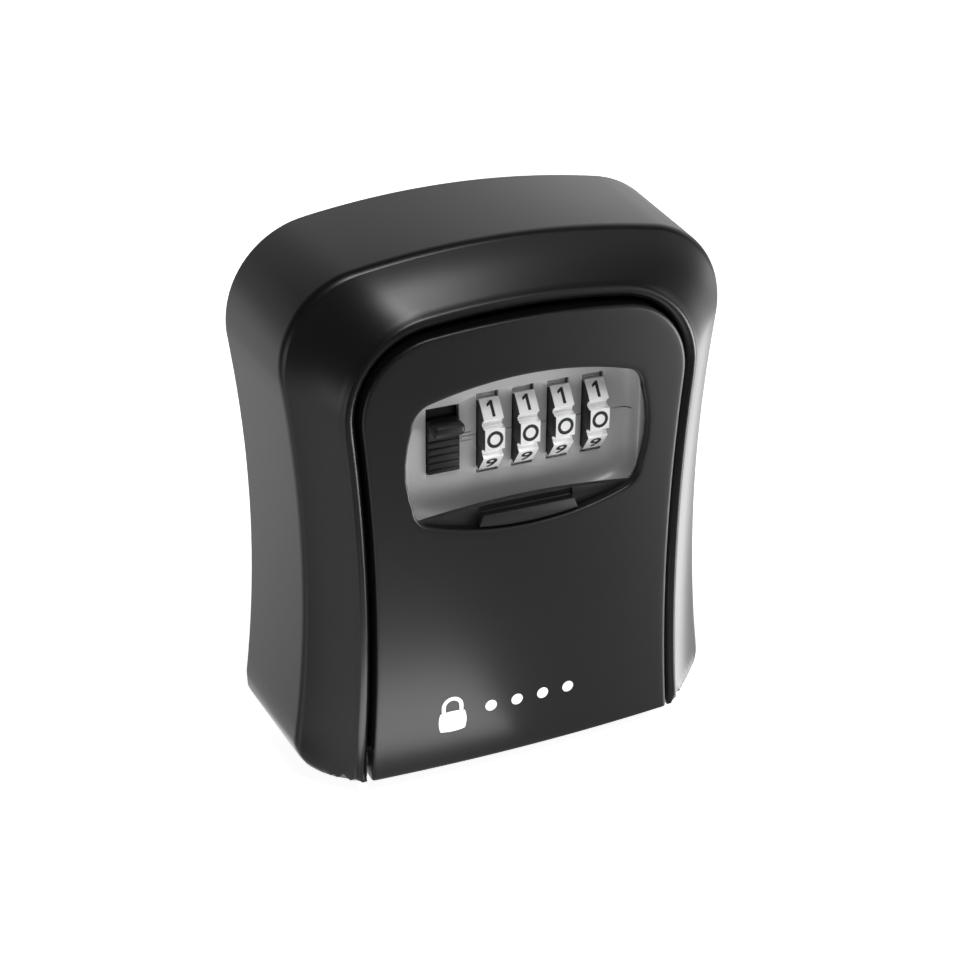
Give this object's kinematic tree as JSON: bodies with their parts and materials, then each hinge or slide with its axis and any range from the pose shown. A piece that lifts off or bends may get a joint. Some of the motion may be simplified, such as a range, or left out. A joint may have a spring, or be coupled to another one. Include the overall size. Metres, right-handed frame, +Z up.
{
  "type": "key lock box",
  "caption": "Wall-mounted key lock box: hourglass die-cast case, bottom-hinged door, code wheels in a window, sliding weather shutter, latch slider and inner latch mechanism.",
  "frame": {"origin": "on the wall face, in the middle of the four wall-screw holes", "axes": "+X to the viewer's right, -Y out of the wall towards the viewer, +Z up"},
  "size_m": [0.1004, 0.0395, 0.115],
  "materials": {
    "case_black": "satin black powder coat on die-cast zinc",
    "door_black": "satin black powder coat on die-cast zinc",
    "shutter_black": "satin black moulded plastic",
    "slider_black": "fine matt black moulded plastic",
    "plate_grey": "satin grey",
    "housing_black": "matt black moulded plastic",
    "cover_black": "black zinc-coated sheet steel",
    "wheel_nickel": "bright nickel plate",
    "tumbler_brass": "turned brass",
    "latch_steel": "zinc-plated pressed steel",
    "lever_steel": "zinc-plated pressed steel",
    "spring_steel": "spring steel",
    "pin_steel": "turned steel",
    "acetal_black": "black acetal",
    "print_white": "white pad print",
    "digit_black": "black paint filled into the digits"
  },
  "bodies": {
    "case": {"body_shell": "case_black", "hinge_pin_left": "pin_steel", "hinge_pin_right": "pin_steel", "hinge_washers": "acetal_black"},
    "door": {"door_shell": "door_black", "shutter_cover": "cover_black", "shutter_cover_screws": "pin_steel", "dial_plate": "plate_grey", "mechanism_housing": "housing_black", "cover_plate": "cover_black", "cover_screws": "pin_steel", "dial_axle": "pin_steel", "axle_clip": "spring_steel", "wave_washer": "spring_steel", "detent_spring": "spring_steel", "detent_screws": "pin_steel"},
    "shutter": {"shutter": "shutter_black"},
    "latch": {"latch_plate": "latch_steel", "latch_rivet": "pin_steel", "open_slider": "slider_black", "latch_spring": "spring_steel"},
    "reset_lever": {"reset_lever": "lever_steel"},
    "wheel_1": {"dial_1": "wheel_nickel", "tumbler_1": "tumbler_brass"},
    "wheel_2": {"dial_2": "wheel_nickel", "tumbler_2": "tumbler_brass"},
    "wheel_3": {"dial_3": "wheel_nickel", "tumbler_3": "tumbler_brass"},
    "wheel_4": {"dial_4": "wheel_nickel", "tumbler_4": "tumbler_brass"}
  },
  "joints": [
    {"name": "door_hinge", "type": "hinge", "parent": "case", "child": "door", "pos_m": [0, -0.0325, -0.0505], "axis": [1, 0, 0], "range_deg": [0, 90]},
    {"name": "shutter_slide", "type": "slide", "parent": "door", "child": "shutter", "axis": [0, 0, 1], "range_m": [0, 0.029]},
    {"name": "latch_slide", "type": "slide", "parent": "door", "child": "latch", "axis": [0, 0, 1], "range_m": [0, 0.0024], "deforming": ["latch_spring"]},
    {"name": "reset_slide", "type": "slide", "parent": "door", "child": "reset_lever", "axis": [1, 0, 0], "range_m": [0, 0.005]},
    {"name": "wheel_1_spin", "type": "hinge", "parent": "door", "child": "wheel_1", "pos_m": [-0.0061, -0.025, 0.018], "axis": [1, 0, 0], "continuous": true},
    {"name": "wheel_2_spin", "type": "hinge", "parent": "door", "child": "wheel_2", "pos_m": [0.0017, -0.025, 0.018], "axis": [1, 0, 0], "continuous": true},
    {"name": "wheel_3_spin", "type": "hinge", "parent": "door", "child": "wheel_3", "pos_m": [0.0095, -0.025, 0.018], "axis": [1, 0, 0], "continuous": true},
    {"name": "wheel_4_spin", "type": "hinge", "parent": "door", "child": "wheel_4", "pos_m": [0.0173, -0.025, 0.018], "axis": [1, 0, 0], "continuous": true}
  ]
}
